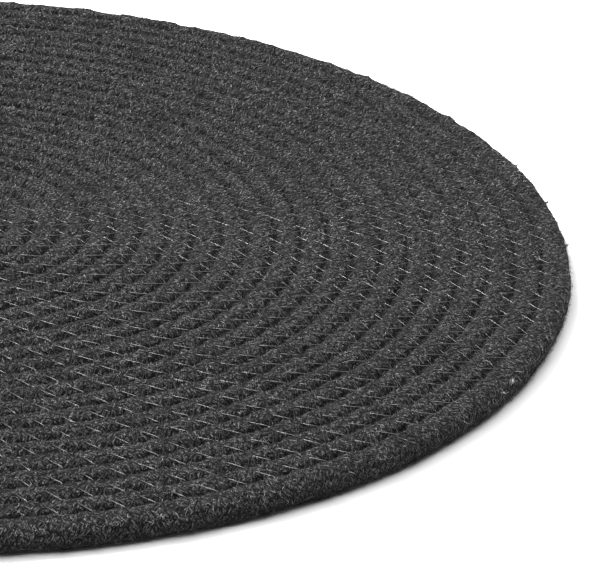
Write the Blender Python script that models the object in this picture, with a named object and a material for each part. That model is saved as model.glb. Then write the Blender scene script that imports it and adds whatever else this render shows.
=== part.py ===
"""A round placemat: one soft rope, coiled flat from the middle and sewn turn to turn.

The sewn coil is one closed solid. Its ribs are the turns of the rope, at their real
pitch, on the top and on the underside alike. The rope starts in a small nub at the
centre and ends in a tapered tail, which lies against the turn before it.
"""

import math

import bmesh
import bpy
from mathutils import Matrix, Vector

# Rope, in metres.
ROPE_PITCH = 0.0079  # from one turn to the next
ROPE_THICKNESS = 0.0080
CROWN_SHARE = 0.40  # flat crown of the rope, as a share of the pitch
CREASE_DEPTH = 0.0021  # how far the crease between two turns lies below their crowns
RIM_BULGE = 0.0003  # how far the outer turn's side stands out at mid thickness

# Coil.
TURNS = 24  # from the centre to the tip of the tail
FIRST_TURN = 0.5  # where the rope clears its own start
STEPS_PER_TURN = 40
START_DIRECTION = 0.0  # where the swept coil begins, from +X
TAIL_STEPS = 5  # steps over which the tail narrows
TAIL_SHARE = 0.30  # width of the tail's tip, as a share of the pitch

# Tolerances.
WELD_DISTANCE = 0.00002
SMOOTH_ANGLE = math.radians(60)

# Finish.
YARN_COLOUR = (0.040, 0.040, 0.043, 1.0)
YARN_ROUGHNESS = 0.95

STEP_ANGLE = 2 * math.pi / STEPS_PER_TURN
STEP_GROWTH = ROPE_PITCH / STEPS_PER_TURN
STEPS = round((TURNS - FIRST_TURN) * STEPS_PER_TURN)


def clear_scene():
    """Remove every object of the scene."""
    for old in list(bpy.data.objects):
        bpy.data.objects.remove(old, do_unlink=True)


def outward(direction):
    """Unit vector away from the centre at an angle from +X."""
    return Vector((math.cos(direction), math.sin(direction), 0.0))


def rope_profile(bm):
    """Upper outline of one turn: crease, two edges of the flat crown, crease."""
    middle = FIRST_TURN * ROPE_PITCH
    crown = CROWN_SHARE * ROPE_PITCH / 2
    side = ROPE_PITCH / 2
    valley = ROPE_THICKNESS - CREASE_DEPTH
    outline = (
        (middle - side, valley),
        (middle - crown, ROPE_THICKNESS),
        (middle + crown, ROPE_THICKNESS),
        (middle + side, valley),
    )
    away = outward(START_DIRECTION)
    verts = [bm.verts.new(away * radius + Vector((0, 0, height))) for radius, height in outline]
    return [bm.edges.new(pair) for pair in zip(verts, verts[1:])]


def tail_width(step):
    """Width of the rope at a step, as a share of the pitch."""
    into_tail = step - (STEPS - TAIL_STEPS)
    if into_tail <= 0:
        return 1.0
    return 1.0 - (1.0 - TAIL_SHARE) * into_tail / TAIL_STEPS


def sweep_coil(bm, edges):
    """Carry the profile around the centre, moving it outward by one pitch a turn."""
    turn = Matrix.Rotation(STEP_ANGLE, 3, "Z")
    for step in range(1, STEPS + 1):
        swept = bmesh.ops.extrude_edge_only(bm, edges=edges)["geom"]
        verts = [item for item in swept if isinstance(item, bmesh.types.BMVert)]
        edges = [
            item
            for item in swept
            if isinstance(item, bmesh.types.BMEdge) and set(item.verts) <= set(verts)
        ]
        direction = START_DIRECTION + step * STEP_ANGLE
        bmesh.ops.rotate(bm, verts=verts, cent=(0, 0, 0), matrix=turn)
        bmesh.ops.translate(bm, verts=verts, vec=outward(direction) * STEP_GROWTH)
        narrowing = tail_width(step) / tail_width(step - 1)
        if narrowing < 1.0:
            inner = min(verts, key=lambda vert: vert.co.xy.length)
            bmesh.ops.scale(
                bm,
                verts=verts,
                vec=(narrowing, narrowing, 1.0),
                space=Matrix.Translation((-inner.co.x, -inner.co.y, 0.0)),
            )


def boundary_edges(bm, inside):
    """Open edges of the sheet whose ends all pass a test on the radius."""
    return [
        edge
        for edge in bm.edges
        if edge.is_boundary and all(inside(vert.co.xy.length) for vert in edge.verts)
    ]


def raise_nub(bm):
    """Close the middle with the rope's start, raised to the height of the crowns."""
    reach = ROPE_PITCH + WELD_DISTANCE
    rim = boundary_edges(bm, lambda radius: radius < reach)
    face = bmesh.ops.contextual_create(bm, geom=rim)["faces"]
    tip = bmesh.ops.poke(bm, faces=face)["verts"]
    for vert in tip:
        vert.co.z = ROPE_THICKNESS


def close_rim(bm):
    """Join the upper and the lower sheet around the outer turn and its tail."""
    rims = [edge for edge in bm.edges if edge.is_boundary]
    wall = bmesh.ops.bridge_loops(bm, edges=rims)["edges"]
    upright = [edge for edge in wall if edge.verts[0].co.z != edge.verts[1].co.z]
    cut = bmesh.ops.subdivide_edges(bm, edges=upright, cuts=1)["geom_inner"]
    for vert in (item for item in cut if isinstance(item, bmesh.types.BMVert)):
        vert.co += vert.co.xy.normalized().to_3d() * RIM_BULGE


def centre_on_origin(bm):
    """Put the middle of the outline over the origin."""
    xs = [vert.co.x for vert in bm.verts]
    ys = [vert.co.y for vert in bm.verts]
    middle = Vector(((min(xs) + max(xs)) / 2, (min(ys) + max(ys)) / 2, 0.0))
    bmesh.ops.translate(bm, verts=bm.verts, vec=-middle)


def yarn_material():
    """Charcoal cotton yarn."""
    material = bpy.data.materials.new("charcoal_yarn")
    material.use_nodes = True
    shader = material.node_tree.nodes["Principled BSDF"]
    shader.inputs["Base Color"].default_value = YARN_COLOUR
    shader.inputs["Roughness"].default_value = YARN_ROUGHNESS
    shader.inputs["Metallic"].default_value = 0.0
    return material


def make_coil():
    """Build the sewn coil as one object."""
    bm = bmesh.new()
    sweep_coil(bm, rope_profile(bm))
    bmesh.ops.remove_doubles(bm, verts=bm.verts, dist=WELD_DISTANCE)
    raise_nub(bm)
    middle_plane = Matrix.Translation((0, 0, -ROPE_THICKNESS / 2))
    bmesh.ops.mirror(bm, geom=bm.faces[:], matrix=middle_plane, merge_dist=0.0, axis="Z")
    close_rim(bm)
    bmesh.ops.triangulate(bm, faces=bm.faces)
    bmesh.ops.recalc_face_normals(bm, faces=bm.faces)
    centre_on_origin(bm)
    mesh = bpy.data.meshes.new("rope_coil")
    bm.to_mesh(mesh)
    bm.free()
    mesh.materials.append(yarn_material())
    mesh.shade_smooth()
    mesh.set_sharp_from_angle(angle=SMOOTH_ANGLE)
    coil = bpy.data.objects.new("rope_coil", mesh)
    bpy.context.collection.objects.link(coil)
    return coil


def main():
    clear_scene()
    make_coil()


main()
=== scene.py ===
"""A round placemat of soft charcoal rope, coiled flat and sewn turn to turn.

The coil is one closed skin: a spiral of ribs above and below, with a round outer side. A
zigzag seam of thin thread joins each turn to the next, on both faces, and short loose
fibres cover the melange yarn. The mat lies on a pale floor in soft light.
"""

from __future__ import annotations

import logging
import math
from collections.abc import Iterable
from dataclasses import dataclass, field
from enum import Enum
from functools import reduce

import bmesh
import bpy
import numpy as np
from mathutils import Matrix, Vector


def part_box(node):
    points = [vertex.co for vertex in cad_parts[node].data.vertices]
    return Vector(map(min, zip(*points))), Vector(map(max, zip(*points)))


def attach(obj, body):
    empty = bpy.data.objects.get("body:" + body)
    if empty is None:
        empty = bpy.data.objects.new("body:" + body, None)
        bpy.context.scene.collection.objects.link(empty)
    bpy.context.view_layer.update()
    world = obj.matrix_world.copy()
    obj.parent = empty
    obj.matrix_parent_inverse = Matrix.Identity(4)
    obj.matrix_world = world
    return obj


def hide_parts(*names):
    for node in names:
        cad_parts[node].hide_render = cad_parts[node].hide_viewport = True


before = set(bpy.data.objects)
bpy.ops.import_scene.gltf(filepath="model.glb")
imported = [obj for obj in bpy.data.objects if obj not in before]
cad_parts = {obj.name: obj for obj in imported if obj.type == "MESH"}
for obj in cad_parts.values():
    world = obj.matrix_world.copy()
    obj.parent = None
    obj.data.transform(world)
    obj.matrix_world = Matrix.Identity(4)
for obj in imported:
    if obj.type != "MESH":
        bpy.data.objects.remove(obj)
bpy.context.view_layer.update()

LOG = logging.getLogger("placemat")
COIL_NODE = "rope_coil"
BODY = "root"
FULL_TURN = 2 * math.pi
BRAID_SLANT = math.radians(58)  # angle of the braid's strands from the rope's line
MID_LANE = 1.5  # lane at mid thickness on the mat's outer side
FLOOR_GAP = 0.00002  # least height over the floor, in metres
FULL_RIB = 0.999  # share from which a rib counts as full
SHORTEST = 1e-12  # length, in metres, below which a vector has no direction
TUBE_WELD = 1e-7  # distance at which the two sides of a rolled grid join

Array = np.ndarray
Socket = bpy.types.NodeSocket


class Side(Enum):
    """Face of the mat, with the way that it looks along Z."""

    UPPER = 1
    UNDER = -1


def ease(share: Array) -> Array:
    """Bend a share from 0 to 1, so that it starts and ends level."""
    return share * share * (3 - 2 * share)


def climb(value: Array, start: float, length: float) -> Array:
    """Share of the way that a value has gone, from 0 at the start to 1 a length on."""
    return np.clip((value - start) / length, 0.0, 1.0)


def unit(vectors: Array) -> Array:
    """Vectors of length 1 along the given rows."""
    return vectors / np.maximum(np.linalg.norm(vectors, axis=1), SHORTEST)[:, None]


def near(phase: Array, centre: float, width: float) -> Array:
    """Soft bump of a repeating phase: 1 on its centre, falling to 0 beside it over a width."""
    off = (phase - centre + 0.5) % 1.0 - 0.5
    return np.exp(-((off / width) ** 2))


@dataclass
class Wobble:
    """Smooth seeded unevenness along a length, about 1 either way."""

    seed: int
    wave: float
    size: float = 0.6
    count: int = 8192

    def __post_init__(self) -> None:
        """Draw the knots of the curve, one to a wave."""
        self.knots = np.random.default_rng(self.seed).normal(0.0, self.size, self.count)

    def __call__(self, distance: Array) -> Array:
        """Read the curve.

        Args:
            distance: Where along the length, in metres.

        Returns:
            The unevenness at each distance.
        """
        place = np.asarray(distance) / self.wave + self.count // 2
        low = np.floor(place).astype(int)
        share = ease(place - low)
        return self.knots[low % self.count] * (1 - share) + self.knots[(low + 1) % self.count] * share


@dataclass
class Lumps:
    """Smooth seeded unevenness over a skin, with knots aslant, as the strands of a braid."""

    seed: int
    spacing: float
    size: float = 0.8
    grid: tuple = (997, 61)

    def __post_init__(self) -> None:
        """Draw the knots of the surface."""
        self.knots = np.random.default_rng(self.seed).normal(0.0, self.size, self.grid)

    def __call__(self, along: Array, around: Array) -> Array:
        """Read the surface.

        Args:
            along: Distance along the rope, in metres.
            around: Distance around the rope, in metres.

        Returns:
            The unevenness at each place.
        """
        first, second = (along + around) / self.spacing, (along - around) / self.spacing
        low, left = np.floor(first).astype(int), np.floor(second).astype(int)
        up, right = ease(first - low), ease(second - left)
        knots, (rows, columns) = self.knots, self.grid
        near_side, far_side = (
            knots[low % rows, side % columns] * (1 - up) + knots[(low + 1) % rows, side % columns] * up
            for side in (left, left + 1)
        )
        return near_side * (1 - right) + far_side * right


def lay_uv(layer: bmesh.types.BMLayerItem, faces: Iterable, first: int, along: Array, around: Array) -> None:
    """Give a grid its UV map, in metres.

    Args:
        layer: The UV layer.
        faces: Faces of the grid.
        first: Index of the grid's first point.
        along: UV u of each row of the grid.
        around: UV v of each column of the grid.
    """
    u_of, v_of = along.tolist(), around.tolist()
    for face in faces:
        for loop in face.loops:
            row, column = divmod(loop.vert.index - first, len(v_of))
            loop[layer].uv = (u_of[row], v_of[column])


def finish_mesh(name: str, bm: bmesh.types.BMesh) -> bpy.types.Mesh:
    """Turn a mesh in the making into a smooth mesh.

    Args:
        name: Name of the mesh.
        bm: The mesh in the making.

    Returns:
        The mesh.
    """
    mesh = bpy.data.meshes.new(name)
    bm.to_mesh(mesh)
    bm.free()
    mesh.shade_smooth()
    return mesh


def close_skin(bm: bmesh.types.BMesh) -> None:
    """Fill the open ends of a skin and turn its faces outward.

    Args:
        bm: The mesh in the making.
    """
    bmesh.ops.holes_fill(bm, edges=[edge for edge in bm.edges if edge.is_boundary], sides=0)
    bmesh.ops.recalc_face_normals(bm, faces=bm.faces)
    if bm.calc_volume(signed=True) < 0:
        bmesh.ops.reverse_faces(bm, faces=bm.faces)


def tube_mesh(name: str, rows: Array, along: Array, around: Array) -> bpy.types.Mesh:
    """Roll a grid into a closed tube through rows of points.

    Args:
        name: Name of the mesh.
        rows: Points, by ring and by place on the open ring.
        along: UV u of each ring, in metres.
        around: UV v of each point of a closed ring, in metres.

    Returns:
        The tube as one closed, smooth mesh with its UV map.
    """
    rings, points = rows.shape[:2]
    bm = bmesh.new()
    bmesh.ops.create_grid(bm, x_segments=points, y_segments=rings - 1, size=1.0)
    closed = np.concatenate([rows, rows[:, :1]], axis=1).reshape(-1, 3)
    for vert, place in zip(bm.verts, closed.tolist()):
        vert.co = place
    bm.verts.index_update()
    lay_uv(bm.loops.layers.uv.new("UVMap"), bm.faces, 0, along, around)
    joint = [vert for vert in bm.verts if vert.index % (points + 1) in (0, points)]
    bmesh.ops.remove_doubles(bm, verts=joint, dist=TUBE_WELD)
    close_skin(bm)
    return finish_mesh(name, bm)


def add_object(name: str, data: bpy.types.ID) -> bpy.types.Object:
    """Add an object to the scene.

    Args:
        name: Name of the object.
        data: Its mesh, lamp or camera.

    Returns:
        The object.
    """
    added = bpy.data.objects.new(name, data)
    bpy.context.collection.objects.link(added)
    return added


def place_piece(name: str, mesh: bpy.types.Mesh, material: bpy.types.Material) -> bpy.types.Object:
    """Make a mesh a piece of the mat.

    Args:
        name: Name of the piece.
        mesh: Its mesh, already in place.
        material: Its finish.

    Returns:
        The object, riding on the mat's body.
    """
    mesh.materials.append(material)
    piece = add_object(name, mesh)
    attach(piece, BODY)
    LOG.info("%s: %d faces", name, len(mesh.polygons))
    return piece


class Nodes:
    """Short way to lay out a material's nodes."""

    def __init__(self, name: str) -> None:
        """Start a material.

        Args:
            name: Name of the material.
        """
        self.material = bpy.data.materials.new(name)
        self.material.use_nodes = True
        self.tree = self.material.node_tree
        self.shader = self.tree.nodes["Principled BSDF"]

    def add(self, kind: str, inputs: dict, output: str | int = 0, **settings: object) -> Socket:
        """Add a node.

        Args:
            kind: Its type, without the leading ShaderNode.
            inputs: Values or sockets for its inputs, by name or number.
            output: Name or number of the output that is wanted.
            settings: Its own properties.

        Returns:
            The output.
        """
        node = self.tree.nodes.new("ShaderNode" + kind)
        for key, value in settings.items():
            setattr(node, key, value)
        for key, value in inputs.items():
            self.feed(node.inputs[key], value)
        return node.outputs[output]

    def feed(self, socket: Socket, value: object) -> None:
        """Give an input a value or a link.

        Args:
            socket: The input.
            value: A number, a tuple or another node's output.
        """
        if isinstance(value, Socket):
            self.tree.links.new(value, socket)
        else:
            socket.default_value = value

    def dress(self, inputs: dict) -> bpy.types.Material:
        """Feed the shader.

        Args:
            inputs: Values or sockets for its inputs, by name.

        Returns:
            The finished material.
        """
        for key, value in inputs.items():
            self.feed(self.shader.inputs[key], value)
        return self.material

    def math(self, operation: str, first: object, second: object = 0.0) -> Socket:
        """Join two numbers by an operation."""
        return self.add("Math", {0: first, 1: second}, operation=operation)

    def product(self, *factors: object) -> Socket:
        """Multiply numbers."""
        return reduce(lambda total, factor: self.math("MULTIPLY", total, factor), factors)

    def weighted(self, *parts: tuple) -> Socket:
        """Add up patterns, each given with its weight."""
        products = [self.product(*part) for part in parts]
        return reduce(lambda total, part: self.math("ADD", total, part), products)

    def spread(self, value: object, low: float, high: float, start: float, end: float) -> Socket:
        """Map numbers from low to high to numbers from start to end, clamped."""
        ends = {"From Min": low, "From Max": high, "To Min": start, "To Max": end}
        return self.add("MapRange", {"Value": value, **ends})

    def mix(self, share: object, first: object, second: object) -> Socket:
        """Blend two colours."""
        return self.add("MixRGB", {"Fac": share, "Color1": first, "Color2": second})

    def noise(self, vector: object, scale: float, detail: float, distortion: float = 0.0) -> Socket:
        """Add a noise pattern, which swings about 0.5."""
        inputs = {"Vector": vector, "Scale": scale, "Detail": detail, "Distortion": distortion}
        return self.add("TexNoise", inputs)


@dataclass(frozen=True)
class YarnFinish:
    """Charcoal melange yarn, felted and matt.

    A range holds where a pattern's used part begins and ends, and what both become.
    """

    dark: tuple = (0.0005, 0.0005, 0.0005, 1.0)
    mid: tuple = (0.0170, 0.0170, 0.0170, 1.0)
    light: tuple = (0.255, 0.255, 0.255, 1.0)
    roughness: float = 0.95
    specular: float = 0.08
    sheen: float = 0.02
    sheen_roughness: float = 0.5
    # Fineness and detail of the noises.
    patches: tuple = (110.0, 2.0)
    stray: tuple = (300.0, 2.0)
    braid: tuple = (520.0, 1.0)
    lumps: tuple = (650.0, 3.0)
    grain: tuple = (2100.0, 0.0)
    stray_size: float = 0.0013
    # Wisps: fineness of the noise and half width of a line in it.
    coarse_wisps: tuple = (1700.0, 0.045)
    fine_wisps: tuple = (3060.0, 0.06)
    fine_wisp_share: float = 0.8
    wisp_curl: float = 1.4
    # Length and width of a strand and of a fibre, which both lie aslant.
    strand_size: tuple = (0.0038, 0.0017, 1.0)
    strand_disorder: float = 0.85
    fibre_size: tuple = (0.0020, 0.00032, 1.0)
    fibre_detail: float = 3.0
    braid_range: tuple = (0.47, 0.53, 0.0, 1.0)
    strand_edge: tuple = (0.0, 0.30, 0.0, 1.0)
    # Shades: fibres from dark to mid, what dims the pale wisps, and what shades the whole:
    # painted shade between strands, a random grain, and painted shade in the creases.
    fibre_range: tuple = (0.46, 0.56, 0.0, 1.0)
    pale_fibre_range: tuple = (0.44, 0.56, 0.05, 1.0)
    pale_patch_range: tuple = (0.35, 0.65, 0.55, 1.0)
    strand_gap_shade_range: tuple = (0.0, 0.60, 0.02, 1.26)
    grain_range: tuple = (0.38, 0.62, 0.45, 1.45)
    painted_shade_range: tuple = (0.0, 1.0, 1.0, 0.50)
    # Relief: its depth, and the weights of lumps, strands, fibres and wisps in it.
    relief: float = 0.0004
    weights: tuple = (2.2, 2.4, 1.6, 0.4)

    def material(self) -> bpy.types.Material:
        """Build the material.

        Returns:
            The material.
        """
        nodes = Nodes("charcoal_yarn")
        place = nodes.add("TexCoord", {}, "Object")
        weave = self.weave(nodes, place)
        lumps = nodes.noise(place, *self.lumps)
        patches = nodes.spread(nodes.noise(place, *self.patches), *self.pale_patch_range)
        fine = nodes.product(self.wisps(nodes, place, *self.fine_wisps), self.fine_wisp_share)
        wisps = nodes.math("MAXIMUM", self.wisps(nodes, place, *self.coarse_wisps), fine)
        # The strands slant one way in some places and the other way in others.
        braid = nodes.spread(nodes.noise(place, *self.braid), *self.braid_range)
        ways = (BRAID_SLANT, -BRAID_SLANT)
        fibres = nodes.mix(braid, *[self.fibres(nodes, weave, slant) for slant in ways])
        strands = nodes.mix(braid, *[self.strands(nodes, weave, slant) for slant in ways])
        body = nodes.mix(nodes.spread(fibres, *self.fibre_range), self.dark, self.mid)
        pale = nodes.product(wisps, nodes.spread(fibres, *self.pale_fibre_range), patches)
        grain = nodes.spread(nodes.noise(place, *self.grain), *self.grain_range)
        # Painted shade in the creases and down the outer side, read from the skin's attribute.
        painted_shade = nodes.add("Attribute", {}, "Fac", attribute_name="painted_shade")
        # Painted shade: the colour is darkened in the gaps between the braid's strands.
        strand_gap_shade = nodes.spread(strands, *self.strand_gap_shade_range)
        shade = nodes.product(strand_gap_shade, grain, nodes.spread(painted_shade, *self.painted_shade_range))
        tint = nodes.add("HueSaturation", {"Value": shade, "Color": nodes.mix(pale, body, self.light)})
        height = nodes.weighted(*zip((lumps, strands, fibres, wisps), self.weights))
        bump = nodes.add("Bump", {"Height": height, "Strength": 1.0, "Distance": self.relief})
        look = {"Base Color": tint, "Normal": bump, "Roughness": self.roughness}
        look |= {"Sheen Weight": self.sheen, "Sheen Roughness": self.sheen_roughness}
        look |= {"Specular IOR Level": self.specular}
        return nodes.dress(look)

    def weave(self, nodes: Nodes, place: object) -> Socket:
        """Place on the rope's skin, along it and around it, slightly disturbed.

        Args:
            nodes: The material's nodes.
            place: Where to read the disturbance.

        Returns:
            A socket with the place, in metres.
        """
        skin = nodes.add("TexCoord", {}, "UV")
        scale, detail = self.stray
        off = nodes.add("TexNoise", {"Vector": place, "Scale": scale, "Detail": detail}, "Color")
        off = nodes.add("VectorMath", {0: off, 1: (0.5,) * 3}, operation="SUBTRACT")
        off = nodes.add("VectorMath", {0: off, "Scale": self.stray_size}, operation="SCALE")
        return nodes.add("VectorMath", {0: skin, 1: off}, operation="ADD")

    def laid(self, nodes: Nodes, weave: object, slant: float, size: tuple) -> Socket:
        """Turn and stretch a place, so that a pattern of a size lies slantwise over the rope."""
        inputs = {"Vector": weave, "Rotation": (0.0, 0.0, slant), "Scale": size}
        return nodes.add("Mapping", inputs, vector_type="TEXTURE")

    def fibres(self, nodes: Nodes, weave: object, slant: float) -> Socket:
        """Fine fibres that lie slantwise over the rope."""
        return nodes.noise(self.laid(nodes, weave, slant, self.fibre_size), 1.0, self.fibre_detail)

    def strands(self, nodes: Nodes, weave: object, slant: float) -> Socket:
        """Strands of the braid: short rounded bundles that lie slantwise over the rope.

        Args:
            nodes: The material's nodes.
            weave: Place on the skin.
            slant: Angle of the strands from the rope's line.

        Returns:
            A socket that is high along a bundle's middle and low between bundles.
        """
        laid = self.laid(nodes, weave, slant, self.strand_size)
        inputs = {"Vector": laid, "Scale": 1.0, "Randomness": self.strand_disorder}
        cells = nodes.add("TexVoronoi", inputs, voronoi_dimensions="2D", feature="DISTANCE_TO_EDGE")
        return nodes.spread(cells, *self.strand_edge)

    def wisps(self, nodes: Nodes, place: object, scale: float, width: float) -> Socket:
        """Thin curling lines, like loose fibres of felted yarn: 1 on a line and 0 beside it."""
        off = nodes.math("SUBTRACT", nodes.noise(place, scale, 1.0, self.wisp_curl), 0.5)
        return nodes.spread(nodes.math("ABSOLUTE", off), 0.0, width, 1.0, 0.0)


@dataclass(frozen=True)
class ThreadFinish:
    """Near-black sewing thread with a slight gloss."""

    colour: tuple = (0.006, 0.006, 0.006, 1.0)
    roughness: float = 0.36
    gloss: float = 1.55
    specular: float = 1.0
    # Plies wound around the thread: radians for each metre along it and around it.
    ply_along: float = 2400.0
    ply_around: float = 5500.0
    ply_range: tuple = (-1.0, 1.0, 0.75, 1.0)
    ply_strength: float = 0.3
    ply_depth: float = 0.00004

    def material(self) -> bpy.types.Material:
        """Build the material.

        Returns:
            The material.
        """
        nodes = Nodes("seam_thread")
        along = nodes.add("SeparateXYZ", {"Vector": nodes.add("TexCoord", {}, "UV")}, "X")
        around = along.node.outputs["Y"]
        phase = nodes.weighted((along, self.ply_along), (around, self.ply_around))
        plies = nodes.math("SINE", phase)
        shade = nodes.spread(plies, *self.ply_range)
        tint = nodes.add("HueSaturation", {"Value": shade, "Color": self.colour})
        relief = {"Height": plies, "Strength": self.ply_strength, "Distance": self.ply_depth}
        bump = nodes.add("Bump", relief)
        look = {"Base Color": tint, "Normal": bump, "Roughness": self.roughness}
        look |= {"Specular IOR Level": self.specular, "IOR": self.gloss}
        return nodes.dress(look)


@dataclass(frozen=True)
class FibreFinish:
    """Loose fibres, from near black to pale grey, one shade each."""

    roughness: float = 0.6
    specular: float = 0.05

    def material(self) -> bpy.types.Material:
        """Build the material.

        Returns:
            The material.
        """
        nodes = Nodes("loose_fibre")
        shade = nodes.add("Attribute", {}, "Color", attribute_name="shade")
        look = {"Base Color": shade, "Roughness": self.roughness, "Specular IOR Level": self.specular}
        return nodes.dress(look)


@dataclass
class Spiral:
    """The line that the rope's middle follows, one pitch out a turn."""

    pitch: float = 0.0079
    turns: float = 24.0
    end_direction: float = math.pi
    rim_bulge: float = 0.0003
    table_steps: int = 20000

    def __post_init__(self) -> None:
        """Tabulate the line's length and set its middle by the CAD coil's box."""
        self.table_turns = np.linspace(0.0, self.turns, self.table_steps + 1)
        radius = self.pitch * self.table_turns
        step = np.hypot(FULL_TURN * radius, self.pitch) * (self.turns / self.table_steps)
        self.table_lengths = np.concatenate([[0.0], np.cumsum((step[1:] + step[:-1]) / 2)])
        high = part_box(COIL_NODE)[1]
        east = self.pitch * self.turns + self.rim_bulge
        north = east + self.pitch / 4
        self.middle = Vector((high[0] - east, high[1] - north, 0.0))

    def direction(self, turn: Array) -> Array:
        """Angle from +X at a number of turns."""
        return self.end_direction + FULL_TURN * (turn - self.turns)

    def length(self, turn: Array) -> Array:
        """Length of the line from the centre to a number of turns."""
        return np.interp(turn, self.table_turns, self.table_lengths)

    def turn(self, length: Array) -> Array:
        """Number of turns at a length from the centre."""
        return np.interp(length, self.table_lengths, self.table_turns)

    def points(self, turn: Array, radius: Array, height: Array) -> Array:
        """Places at given turns, radii and heights, as an array with a last axis of 3."""
        x, y = (radius * part(self.direction(turn)) for part in (np.cos, np.sin))
        return np.stack(np.broadcast_arrays(self.middle.x + x, self.middle.y + y, height), axis=-1)


@dataclass
class Stitch:
    """Rhythm of the zigzag that runs in the crease between two turns.

    One repeat goes from the hole in the outer rope, across the crease to the inner rope,
    under it for a little, and back across. The crease is pulled along and drifts a little.
    """

    spiral: Spiral
    repeat: float = 0.0083
    reach: float = 0.0031
    inner_hole: float = 0.590
    inner_rise: float = 0.700
    pull: float = 0.00032
    pull_phase: float = 0.15
    drift: float = 0.00030
    wander: Wobble = field(default_factory=lambda: Wobble(seed=11, wave=0.021))

    def seam_length(self, turn: Array) -> Array:
        """Length along the crease outside a number of turns, from its start."""
        return self.spiral.length(np.asarray(turn) + 0.5)

    def phase(self, turn: Array) -> Array:
        """Repeats sewn along the crease outside a number of turns."""
        return self.seam_length(turn) / self.repeat

    def crease(self, turn: Array) -> Array:
        """How far the crease outside a number of turns wanders from its circle."""
        pull = self.pull * np.sin(FULL_TURN * (self.phase(turn) - self.pull_phase))
        return pull + self.drift * self.wander(self.seam_length(turn))


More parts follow.
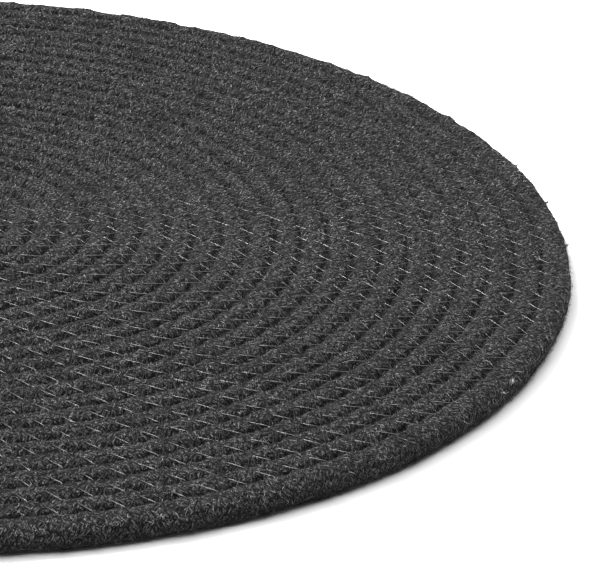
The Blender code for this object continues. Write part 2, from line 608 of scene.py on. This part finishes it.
@dataclass
class Rope:
    """The coiled rope, sewn to itself: ribs above and below, and a round outer side.

    A place on the rope is a turn and a lane. Lanes -1 to 1 cross the upper face from the
    inner crease to the outer one, 1 to 2 go down the outer side of the last turn, and 2 to
    4 cross the underside back to the inner crease.
    """

    spiral: Spiral
    stitch: Stitch
    thickness: float = 0.0080
    # Ribs: depth of a crease under thread, the thread's places in the repeat and half
    # widths, and powers that say how flat the arches are.
    crease_depth: float = 0.00155
    covers: tuple = ((0.30, 0.18), (0.85, 0.13))
    crown_power: float = 3.2
    base_power: float = 7.0
    narrow_power: float = 0.6
    # Outer side, which rounds off over a short length.
    squareness: float = 2.3
    shoulder: float = math.radians(30)
    rim_radius: float = 0.19
    rim_start: float = 0.006
    rim_swell: float = 0.7
    # The rope's end.
    tail: float = 0.146
    tail_share: float = 0.30
    nub: float = 0.0030
    # Lumps of the yarn, their shares on the last turn and on the underside, and the power
    # by which they fade towards the creases.
    lane_width: float = 0.0045
    lump_height: float = 0.00022
    bulge_height: float = 0.00026
    side_bulge_height: float = 0.00020
    rim_share: float = 0.85
    under_share: float = 0.5
    relief_power: int = 4
    # Dents: half width, as a share of half the rope, and half lengths at its outer and
    # inner row of holes, as shares of the repeat.
    dent_depth: float = 0.00040
    dent_width: float = 0.30
    dent_lengths: tuple = (0.17, 0.13)
    # Where the painted shade begins and over how much it fills: towards the inner crease,
    # towards the outer one, and down the outer side.
    inner_shade: tuple = (0.42, 0.50)
    outer_shade: tuple = (0.66, 0.30)
    side_shade: tuple = (1.05, 0.65)
    outer_shade_share: float = 0.82
    # Grid: from which turn on how many rows go to a turn, rows at the tip, and columns.
    steps: tuple = ((-0.5, 72), (3, 144), (6, 288), (12, 576), (24, 576))
    tip_rows: tuple = (0.6, 0.3, 0.1, 0.0)
    tip_gap: float = 0.0005
    upper_lanes: tuple = (-1.0, -0.87, -0.62, -0.24, 0.24, 0.62, 0.87, 1.0)
    side_lanes: tuple = (1.0, 1.25, 1.5, 1.75, 2.0)
    under_lanes: tuple = (2.0, 2.35, 3.65, 4.0)
    weld: float = 0.000002
    shortest_edge: float = 0.000001

    def __post_init__(self) -> None:
        """Set up the rope's unevenness."""
        self.swell = Wobble(seed=3, wave=0.017)
        self.lumps = Lumps(seed=5, spacing=0.0021)
        self.bulges = Lumps(seed=7, spacing=0.0052)
        self.last_length = float(self.spiral.length(self.spiral.turns))

    def on_rim(self, turn: Array) -> Array:
        """Whether a place is on the last turn, with no rope outside it."""
        return turn > self.spiral.turns - 1

    def across(self, lane: Array) -> Array:
        """Place across the rope: -1 at the inner crease, 1 at the outer one and on the side."""
        return np.clip(np.where(lane <= MID_LANE, lane, 2 * MID_LANE - lane), -1.0, 1.0)

    def tip(self, turn: Array) -> Array:
        """Rounding of the tail's tip: 1 along the rope and 0 at its very end."""
        left = self.last_length - self.spiral.length(turn)
        return np.sqrt(1 - (1 - climb(left, 0.0, self.nub)) ** 2)

    def width(self, turn: Array) -> Array:
        """Width of the rope as a share of the pitch: less in the tail, and 0 at its tip."""
        left = climb(self.last_length - self.spiral.length(turn), 0.0, self.tail)
        return (self.tail_share + (1 - self.tail_share) * left) * self.tip(turn)

    def crease(self, turn: Array) -> Array:
        """Distance of the crease outside a turn from the mat's middle."""
        wander = climb(turn, -0.5, 1.0) * self.stitch.crease(turn)
        return self.spiral.pitch * np.maximum(turn + 0.5, 0.0) + wander

    def crease_drop(self, turn: Array) -> Array:
        """Depth of the crease outside a turn, deeper where no thread covers it."""
        first, second = (near(self.stitch.phase(turn), *cover) for cover in self.covers)
        return self.crease_depth * (1.0 + climb(turn, 0.5, 1.0) * (1.0 - first - second))

    def place(self, turn: Array, lane: Array) -> tuple[Array, Array]:
        """Where a place on the rope is.

        Args:
            turn: Turns from the centre.
            lane: Place around the rope.

        Returns:
            Distance from the mat's middle and height, in metres.
        """
        turn, lane = np.broadcast_arrays(turn, lane)
        across, pitch, tip = self.across(lane), self.spiral.pitch, self.tip(turn)
        inner = self.crease(turn - 1) * (turn >= 0.5)
        even = inner + tip * (pitch * (turn - 0.5) - inner)
        outer = np.where(self.on_rim(turn), even + pitch * self.width(turn), self.crease(turn))
        middle, half = (inner + outer) / 2, (outer - inner) / 2
        full = np.clip(2 * half / pitch, 0.0, 1.0) ** self.narrow_power
        distance = middle + across * half
        rib = self.rib(turn, lane, full)
        # On the last turn the rib rounds over to the outer side.
        side_out, side_up = self.side(turn, lane, half)
        rim_length = (turn - self.spiral.turns + 1) * FULL_TURN * self.rim_radius
        share = np.where(across > 0, climb(rim_length, 0.0, self.rim_start) * tip, 0.0)
        distance = distance + share * (middle + side_out - distance)
        rib = rib + share * (side_up - rib)
        rib = np.where(lane < 2.0, rib, -np.abs(rib))
        return distance, self.uneven(turn, lane, rib, full)

    def rib(self, turn: Array, lane: Array, full: Array) -> Array:
        """Shape of an even rib: an arch between its two creases.

        Args:
            turn: Turns from the centre.
            lane: Place around the rope.
            full: Share of the full rib that is there.

        Returns:
            Height over the mid thickness.
        """
        across, down, top = self.across(lane), climb(lane, 1.0, 1.0), self.thickness / 2
        inner_drop = self.crease_drop(turn - 1)
        outer_drop = np.where(self.on_rim(turn), inner_drop, self.crease_drop(turn))
        drop = np.where(across < 0, inner_drop, outer_drop)
        power = np.where(lane <= MID_LANE, self.crown_power, self.base_power)
        rise = full * (1 - np.abs(across) ** power)
        # A narrow rib stands on a straight line between its creases.
        valley = top - (inner_drop + (outer_drop - inner_drop) * (across + 1) / 2)
        rib = np.where(full < FULL_RIB, valley + rise * (top - valley), top - drop + rise * drop)
        return np.where((down > 0.0) & (down < 1.0), (top - outer_drop) * (1 - 2 * down), rib)

    def side(self, turn: Array, lane: Array, half: Array) -> tuple[Array, Array]:
        """Shape of the round outer side of the last turn.

        Args:
            turn: Turns from the centre.
            lane: Place around the rope.
            half: Half the width of the rope.

        Returns:
            Distance from the rope's middle and height over the mid thickness.
        """
        down, upright, power = climb(lane, 1.0, 1.0), math.pi / 2, 2 / self.squareness
        angle = upright - np.maximum(self.across(lane), 0.0) * (upright - self.shoulder)
        angle = np.where((down > 0.0) & (down < 1.0), self.shoulder * (1 - 2 * down), angle)
        swell = 1 + self.rim_swell * self.swell(self.spiral.length(turn))
        knobs = self.relief(turn, lane, self.side_bulge_height)
        reach = half + self.spiral.rim_bulge * swell + knobs
        out = reach * np.clip(np.cos(angle), 0.0, 1.0) ** power
        return out, np.sign(angle) * self.thickness / 2 * np.abs(np.sin(angle)) ** power

    def relief(self, turn: Array, lane: Array, bulge_height: float) -> Array:
        """Height of the yarn's lumps, with the larger ones of a given height."""
        length, around = self.spiral.length(turn), lane * self.lane_width
        return self.lump_height * self.lumps(length, around) + bulge_height * self.bulges(length, around)

    def uneven(self, turn: Array, lane: Array, rib: Array, full: Array) -> Array:
        """Add the dents of the seam and the lumps of the yarn.

        Args:
            turn: Turns from the centre.
            lane: Place around the rope.
            rib: Height over the mid thickness of an even rib.
            full: Share of the full rib that is there.

        Returns:
            Height over the floor.
        """
        stitch, started, across = self.stitch, climb(turn, 0.0, 1.0), self.across(lane)
        row = 1 - 2 * stitch.reach / self.spiral.pitch
        hole = (stitch.inner_hole + stitch.inner_rise) / 2
        outer_length, inner_length = self.dent_lengths
        sewn_out = np.where(self.on_rim(turn), 0.0, 1.0) * started
        dent = sewn_out * self.pinch(across - row, stitch.phase(turn), hole, outer_length)
        sewn_in = climb(turn, 1.0, 1.0)
        dent = dent + sewn_in * self.pinch(across + row, stitch.phase(turn - 1), 0.0, inner_length)
        inside = np.clip(1 - np.abs(across) ** self.relief_power, 0.0, 1.0) * full
        rough = self.relief(turn, lane, self.bulge_height) * inside * started
        rough = rough * np.where(self.on_rim(turn), self.rim_share, 1.0)
        way = np.where(rib > 0, 1.0, -self.under_share)
        height = rib + way * (rough - self.dent_depth * dent * inside)
        return np.maximum(self.thickness / 2 + height, FLOOR_GAP)

    def pinch(self, off: Array, phase: Array, hole: float, length: float) -> Array:
        """A dent of a length around the needle holes: 1 at its middle."""
        return np.exp(-((off / self.dent_width) ** 2)) * near(phase, hole, length)

    def painted_shade(self, turn: Array, lane: Array) -> Array:
        """How deep a place lies in painted shade, which darkens the colour where shade falls.

        Args:
            turn: Turns from the centre.
            lane: Place around the rope.

        Returns:
            0 on the rib, rising into its creases and down the outer side of the last turn.
        """
        across = self.across(lane)
        inner = climb(-across, *self.inner_shade)
        outer = self.outer_shade_share * climb(across, *self.outer_shade)
        side = climb(lane, *self.side_shade) * (lane <= 2.0)
        return np.where(self.on_rim(turn) & (across > 0), side, np.where(across < 0, inner, outer))

    def rows(self) -> Array:
        """Rows of points of the skin.

        Returns:
            The turn of each row, from the rope's start to its end.
        """
        spans = zip(self.steps, self.steps[1:])
        turns = [np.arange(round((b - a) * count)) / count + a for (a, count), (b, _) in spans]
        tip = self.spiral.turn(self.last_length - self.nub * np.array(self.tip_rows))
        turn = np.concatenate(turns)
        return np.concatenate([turn[turn < tip[0] - self.tip_gap], tip])

    def spread(self, bm: bmesh.types.BMesh, turn: Array, lanes: tuple) -> None:
        """Lay a grid over a strip of the rope.

        Args:
            bm: The mesh in the making.
            turn: Turns of the strip's rows.
            lanes: Lanes of the strip's columns.
        """
        lane = np.array(lanes)
        segments = {"x_segments": len(lane) - 1, "y_segments": len(turn) - 1}
        made = bmesh.ops.create_grid(bm, **segments, size=1.0)["verts"]
        distance, height = self.place(turn[:, None], lane[None, :])
        places = self.spiral.points(turn[:, None], distance, height).reshape(-1, 3)
        # Painted shade: how much the yarn's colour is darkened at each point, as an attribute.
        painted_shade = np.broadcast_to(self.painted_shade(turn[:, None], lane[None, :]), distance.shape)
        depth = bm.verts.layers.float.get("painted_shade") or bm.verts.layers.float.new("painted_shade")
        # A new layer makes the operator's list stale.
        made = bm.verts[-len(made):]
        for vert, place, deep in zip(made, places.tolist(), painted_shade.ravel().tolist()):
            vert.co = place
            vert[depth] = deep
        bm.verts.index_update()
        layer = bm.loops.layers.uv.verify()
        faces = {face for vert in made for face in vert.link_faces}
        lay_uv(layer, faces, made[0].index, self.spiral.length(turn), lane * self.lane_width)

    def build(self, finish: YarnFinish) -> bpy.types.Object:
        """Make the coil as one closed skin.

        Args:
            finish: The yarn.

        Returns:
            The coil.
        """
        bm = bmesh.new()
        turn = self.rows()
        self.spread(bm, turn, self.upper_lanes)
        self.spread(bm, turn, self.under_lanes)
        self.spread(bm, turn[turn >= self.spiral.turns - 1], self.side_lanes)
        bmesh.ops.remove_doubles(bm, verts=bm.verts, dist=self.weld)
        bmesh.ops.dissolve_degenerate(bm, edges=bm.edges, dist=self.shortest_edge)
        close_skin(bm)
        return place_piece("coiled_rope", finish_mesh("coiled_rope", bm), finish.material())


@dataclass
class Seam:
    """The zigzag thread of one face, which keeps clear of the rope's two ends."""

    rope: Rope
    side: Side
    diameter: float = 0.00021
    sides: int = 3
    seed: int = 21
    level: float = 0.00782
    first_turn: float = 0.75
    last_gap: float = 1.02
    tail_pull: float = 1.25
    floor_share: float = 0.6
    # How much a repeat is shifted, stretched, raised and sheared at random.
    errors: tuple = (0.014, 0.07, 0.00005, 0.016)
    # Share of the repeat, place across the crease as a share of the reach (outward is 1),
    # lift over the seam's level, in thread widths, and fullness.
    path: tuple = (
        (0.0, 1.0, -2.2, 0.76),
        (0.045, 0.95, -1.4, 0.76),
        (0.09, 0.8, -1.4, 0.76),
        (0.31, 0.0, -2.0, 0.76),
        (0.53, -0.8, -0.8, 0.76),
        (0.572, -0.95, -0.9, 0.76),
        (0.59, -1.0, -2.2, 0.76),
        (0.7, -1.0, -2.2, 1.14),
        (0.709, -0.95, -0.6, 1.14),
        (0.729, -0.8, -0.1, 1.14),
        (0.846, 0.0, 0.8, 1.14),
        (0.968, 0.8, 1.8, 1.14),
        (0.988, 0.95, 0.1, 1.14),
    )

    def line(self) -> tuple[Array, Array]:
        """Lay the thread along the whole seam.

        Returns:
            Points of its middle, and its fullness at each, as a share of the diameter.
        """
        rope, stitch, spiral = self.rope, self.rope.stitch, self.rope.spiral
        first = float(stitch.phase(self.first_turn))
        last = float(stitch.phase(spiral.turns - self.last_gap))
        repeats = np.arange(math.ceil(first), math.floor(last))
        step, across, lift, full = np.array(self.path).T
        draw = np.random.default_rng(self.seed).normal(0.0, 1.0, (len(repeats), len(self.errors)))
        shift, stretch, lifting, shear = (draw * self.errors).T[:, :, None]
        phase = repeats[:, None] + step + shift + shear * across
        turn = spiral.turn(phase.ravel() * stitch.repeat) - 0.5
        # Towards the tail the outer holes come closer and lie lower.
        tail = rope.width(turn + 1)
        outward = np.clip(np.tile(across, len(repeats)), 0.0, 1.0)
        closer = 1 - outward * np.clip(1 - self.tail_pull * tail, 0.0, 1.0)
        off = (across * (stitch.reach * (1 + stretch))).ravel() * closer
        level = (self.level + lifting + lift * self.diameter).ravel()
        level = level - outward * rope.crease_depth * (1 - tail**rope.narrow_power)
        height = rope.thickness / 2 + self.side.value * (level - rope.thickness / 2)
        height = np.maximum(height, self.floor_share * self.diameter)
        radius = spiral.pitch * (turn + 0.5) + (off + stitch.crease(turn))
        return spiral.points(turn, radius, height), np.tile(full, len(repeats))

    def rings(self, line: Array, full: Array) -> Array:
        """Rings of a thin tube along a line.

        Args:
            line: Points along the thread.
            full: Width at each point, as a share of the diameter.

        Returns:
            The rings' points.
        """
        ahead = unit(np.gradient(line, axis=0))
        sideways = unit(np.cross(np.array([0.0, 0.0, 1.0]), ahead))
        up = np.cross(ahead, sideways)
        turn = np.linspace(0.0, FULL_TURN, self.sides, endpoint=False) + math.pi / self.sides
        ring = np.cos(turn)[:, None] * sideways[:, None] + np.sin(turn)[:, None] * up[:, None]
        return line[:, None] + ring * full[:, None, None] * self.diameter / 2

    def build(self, finish: ThreadFinish) -> bpy.types.Object:
        """Make the thread as one closed tube along the whole seam.

        Args:
            finish: The thread's finish.

        Returns:
            The thread.
        """
        line, full = self.line()
        steps = np.linalg.norm(np.diff(line, axis=0), axis=1)
        along = np.concatenate([[0.0], np.cumsum(steps)])
        around = np.linspace(0.0, math.pi * self.diameter, self.sides + 1)
        name = f"seam_thread_{self.side.name.lower()}"
        mesh = tube_mesh(name, self.rings(line, full), along, around)
        return place_piece(name, mesh, finish.material())


class Ground(Enum):
    """Where on the rope a patch of fibres grows: its first and last lane."""

    UPPER = (-1.0, 1.0)
    RIM = (0.7, 2.3)
    EDGE = (0.72, 1.25)
    UNDER = (2.1, 4.0)


@dataclass
class Fuzz:
    """Short loose fibres on the rope's skin, each a thin bent spindle.

    Most are combed along the strands of the braid, which cross the rope both ways.
    """

    rope: Rope
    ground: Ground
    count: int
    seed: int
    name: str
    shortest: float = 0.0009
    longest: float = 0.0028
    thinnest: float = 0.000030
    thickest: float = 0.000055
    lift: float = 0.30
    scatter: float = math.radians(16)
    combed: float = 0.75
    bunch: int = 1
    # Bend, as a share of half the length: at random along the skin, and off it.
    sway: float = 0.26
    arch: float = 0.15
    # Height of the middle: shares of the thickness and of half the rise.
    thick_raise: float = 0.6
    lift_raise: float = 0.3
    # First turn, length left bare at the rope's end, and last lane on the last turn.
    first_turn: float = 0.3
    end_gap: float = 0.0003
    last_lane: float = 0.9
    # Steps along and around the rope that read the skin's slope.
    step_along: float = 0.0004
    step_around: float = 0.02
    # Grey: the least, the even gain and the palest's gain, the power that says how few are
    # pale, and the share that painted shade takes away in a crease.
    greys: tuple = (0.001, 0.010, 0.50)
    pale_power: int = 5
    shade_share: float = 0.6

    def spindle(self) -> tuple[Array, Array]:
        """Shape of one fibre: two points and a ring of three.

        Returns:
            Its points, along Z from -1 to 1, and its triangles.
        """
        bm = bmesh.new()
        bmesh.ops.create_uvsphere(bm, u_segments=3, v_segments=2, radius=1.0)
        bmesh.ops.triangulate(bm, faces=bm.faces)
        bmesh.ops.recalc_face_normals(bm, faces=bm.faces)
        points = np.array([vert.co[:] for vert in bm.verts])
        triangles = np.array([[vert.index for vert in face.verts] for face in bm.faces])
        bm.free()
        return points, triangles

    def skin(self, turn: Array, lane: Array) -> Array:
        """Places on the rope's skin."""
        return self.rope.spiral.points(turn, *self.rope.place(turn, lane))

    def roots(self, draw: np.random.Generator) -> tuple[Array, ...]:
        """Where the fibres grow, and which way.

        Args:
            draw: Source of the random draw.

        Returns:
            Places, directions along the skin, the skin's outward normal, and a share of
            the grey, less in the creases as painted shade.
        """
        spiral = self.rope.spiral
        start = spiral.turns - 1 if self.ground in (Ground.RIM, Ground.EDGE) else self.first_turn
        reach = (spiral.length(start), self.rope.last_length - self.end_gap)
        count, spots = self.count, self.count // self.bunch
        lengths = np.repeat(draw.uniform(*reach, spots), self.bunch)
        lane = np.repeat(draw.uniform(*self.ground.value, spots), self.bunch)
        turn = spiral.turn(lengths)
        if self.ground is Ground.UPPER:
            lane = np.where(self.rope.on_rim(turn), np.minimum(lane, self.last_lane), lane)
        here = self.skin(turn, lane)
        along = unit(self.skin(spiral.turn(lengths + self.step_along), lane) - here)
        normal = -unit(np.cross(along, self.skin(turn, lane + self.step_around) - here))
        strands = draw.choice((-1.0, 1.0), count) * draw.normal(BRAID_SLANT, self.scatter, count)
        combed = draw.uniform(0.0, 1.0, count) < self.combed
        heading = np.where(combed, strands, draw.uniform(0.0, FULL_TURN, count))[:, None]
        flat = np.cos(heading) * along + np.sin(heading) * np.cross(normal, along)
        return here, flat, normal, 1 - self.shade_share * self.rope.painted_shade(turn, lane)

    def build(self, finish: FibreFinish) -> bpy.types.Object:
        """Make the fibres as one piece.

        Args:
            finish: The fibres' finish.

        Returns:
            The fuzz.
        """
        draw = np.random.default_rng(self.seed)
        here, flat, normal, share = self.roots(draw)
        lift = draw.normal(0.0, self.lift, self.count)[:, None]
        sway = draw.normal(0.0, self.sway, self.count)[:, None]
        half = (draw.uniform(self.shortest, self.longest, self.count) / 2)[:, None]
        thick = draw.uniform(self.thinnest, self.thickest, self.count)[:, None]
        pale = draw.uniform(0.0, 1.0, self.count)
        axis = flat * np.cos(lift) + normal * np.sin(lift)
        bend = np.cross(normal, axis) * sway + normal * self.arch
        first = unit(np.cross(axis, normal))
        second = np.cross(axis, first)
        rise = thick * self.thick_raise + self.lift_raise * half * np.abs(np.sin(lift))
        points, triangles = self.spindle()
        x, y, z = points.T[:, None, :, None]
        places = (
            (here + normal * rise)[:, None]
            + axis[:, None] * half[:, None] * z
            + bend[:, None] * half[:, None] * (1 - z * z)
            + (first[:, None] * x + second[:, None] * y) * thick[:, None]
        )
        places[..., 2] = np.maximum(places[..., 2], FLOOR_GAP)
        faces = triangles[None] + (np.arange(self.count) * len(points))[:, None, None]
        least, even, most = self.greys
        # The share darkens fibres in the creases: painted shade.
        grey = np.repeat(share * (least + even * pale + most * pale**self.pale_power), len(points))
        mesh = self.bundle(places.reshape(-1, 3), faces.reshape(-1, 3), grey)
        return place_piece(self.name, mesh, finish.material())

    def bundle(self, points: Array, faces: Array, grey: Array) -> bpy.types.Mesh:
        """Gather all fibres in a mesh.

        Args:
            points: All points.
            faces: All triangles.
            grey: Grey of each point.

        Returns:
            The mesh.
        """
        mesh = bpy.data.meshes.new(self.name)
        mesh.vertices.add(len(points))
        mesh.vertices.foreach_set("co", points.astype(np.float32).ravel())
        mesh.loops.add(faces.size)
        mesh.loops.foreach_set("vertex_index", faces.astype(np.int32).ravel())
        mesh.polygons.add(len(faces))
        mesh.polygons.foreach_set("loop_start", np.arange(0, faces.size, 3, dtype=np.int32))
        mesh.update(calc_edges=True)
        mesh.validate()
        mesh.shade_smooth()
        colour = np.repeat(grey[:, None], 4, axis=1)
        colour[:, 3] = 1.0
        layer = mesh.color_attributes.new("shade", "FLOAT_COLOR", "POINT")
        layer.data.foreach_set("color", colour.astype(np.float32).ravel())
        return mesh


@dataclass
class Tufts(Fuzz):
    """A few bunches of longer and thicker fibres that stand out every way."""

    shortest: float = 0.0020
    longest: float = 0.0036
    thinnest: float = 0.00007
    thickest: float = 0.00012
    lift: float = 1.1
    combed: float = 0.0
    bunch: int = 12


@dataclass
class Camera:
    """Long lens from the front, about 24 degrees above the floor."""

    spiral: Spiral
    back: float = 0.9091
    height: float = 0.4108
    yaw: float = math.radians(6.985)
    pitch: float = math.radians(24.735)
    roll: float = math.radians(3.30)
    lens: float = 201.29
    sensor: float = 36.0

    def build(self) -> None:
        """Make the camera and look through it."""
        data = bpy.data.cameras.new("camera")
        data.lens = self.lens
        data.sensor_width = self.sensor
        data.sensor_fit = "HORIZONTAL"
        camera = add_object("camera", data)
        level = math.cos(self.pitch)
        ahead = Vector((math.sin(self.yaw) * level, math.cos(self.yaw) * level, -math.sin(self.pitch)))
        right = ahead.cross(Vector((0, 0, 1))).normalized()
        up = right.cross(ahead)
        cos, sin = math.cos(self.roll), math.sin(self.roll)
        turn = Matrix((cos * right + sin * up, -sin * right + cos * up, -ahead)).transposed().to_4x4()
        place = self.spiral.middle + Vector((0.0, -self.back, self.height))
        camera.matrix_world = Matrix.Translation(place) @ turn
        bpy.context.scene.camera = camera


@dataclass(frozen=True)
class Lamp:
    """A square soft box that points at the mat."""

    name: str
    power: float
    size: float
    place: tuple

    def build(self) -> None:
        """Hang the lamp."""
        lamp = bpy.data.lights.new(self.name, "AREA")
        lamp.energy = self.power
        lamp.size = self.size
        box = add_object(self.name, lamp)
        box.location = self.place
        box.rotation_euler = (-Vector(self.place)).to_track_quat("-Z", "Y").to_euler()


@dataclass
class Studio:
    """Pale floor, a soft lamp from behind on the left, a wide one overhead, and a faint sky."""

    floor_size: float = 8.0
    floor_grey: float = 0.93
    floor_roughness: float = 0.9
    sky: float = 0.15
    lamps: tuple = (
        Lamp("key", 163.0, 0.7, (-0.99, 0.67, 1.72)),
        Lamp("overhead", 76.0, 2.6, (0.0, -0.2, 2.4)),
    )

    def build(self) -> None:
        """Make the floor and the lights."""
        bm = bmesh.new()
        bmesh.ops.create_grid(bm, x_segments=1, y_segments=1, size=self.floor_size / 2)
        mesh = finish_mesh("floor", bm)
        colour = (self.floor_grey,) * 3 + (1.0,)
        look = {"Base Color": colour, "Roughness": self.floor_roughness, "Specular IOR Level": 0.0}
        mesh.materials.append(Nodes("pale_floor").dress(look))
        floor = add_object("floor", mesh)
        for lamp in self.lamps:
            lamp.build()
        world = bpy.data.worlds.new("sky")
        world.use_nodes = True
        inputs = world.node_tree.nodes["Background"].inputs
        inputs["Color"].default_value = (1, 1, 1, 1)
        inputs["Strength"].default_value = self.sky
        scene = bpy.context.scene
        scene.world = world
        scene.view_settings.view_transform = "Standard"
        scene.view_settings.look = "None"


def main() -> None:
    """Build the mat and the studio."""
    logging.basicConfig(level=logging.INFO, format="%(name)s %(message)s")
    spiral = Spiral()
    Camera(spiral).build()
    rope = Rope(spiral, Stitch(spiral))
    coil = rope.build(YarnFinish())
    thread = ThreadFinish()
    seams = [Seam(rope, Side.UPPER).build(thread), Seam(rope, Side.UNDER, seed=22).build(thread)]
    patches = (
        Fuzz(rope, Ground.UPPER, 25000, 31, "fuzz_upper_a"),
        Fuzz(rope, Ground.UPPER, 25000, 32, "fuzz_upper_b"),
        Fuzz(rope, Ground.UPPER, 25000, 35, "fuzz_upper_c"),
        Fuzz(rope, Ground.RIM, 8500, 33, "fuzz_rim", lift=0.5),
        Fuzz(rope, Ground.UNDER, 6000, 34, "fuzz_under"),
        Tufts(rope, Ground.EDGE, 276, 36, "tufts"),
    )
    fibre = FibreFinish()
    fuzz = [patch.build(fibre) for patch in patches]
    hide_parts(COIL_NODE)
    Studio().build()


if __name__ == "__main__":
    main()
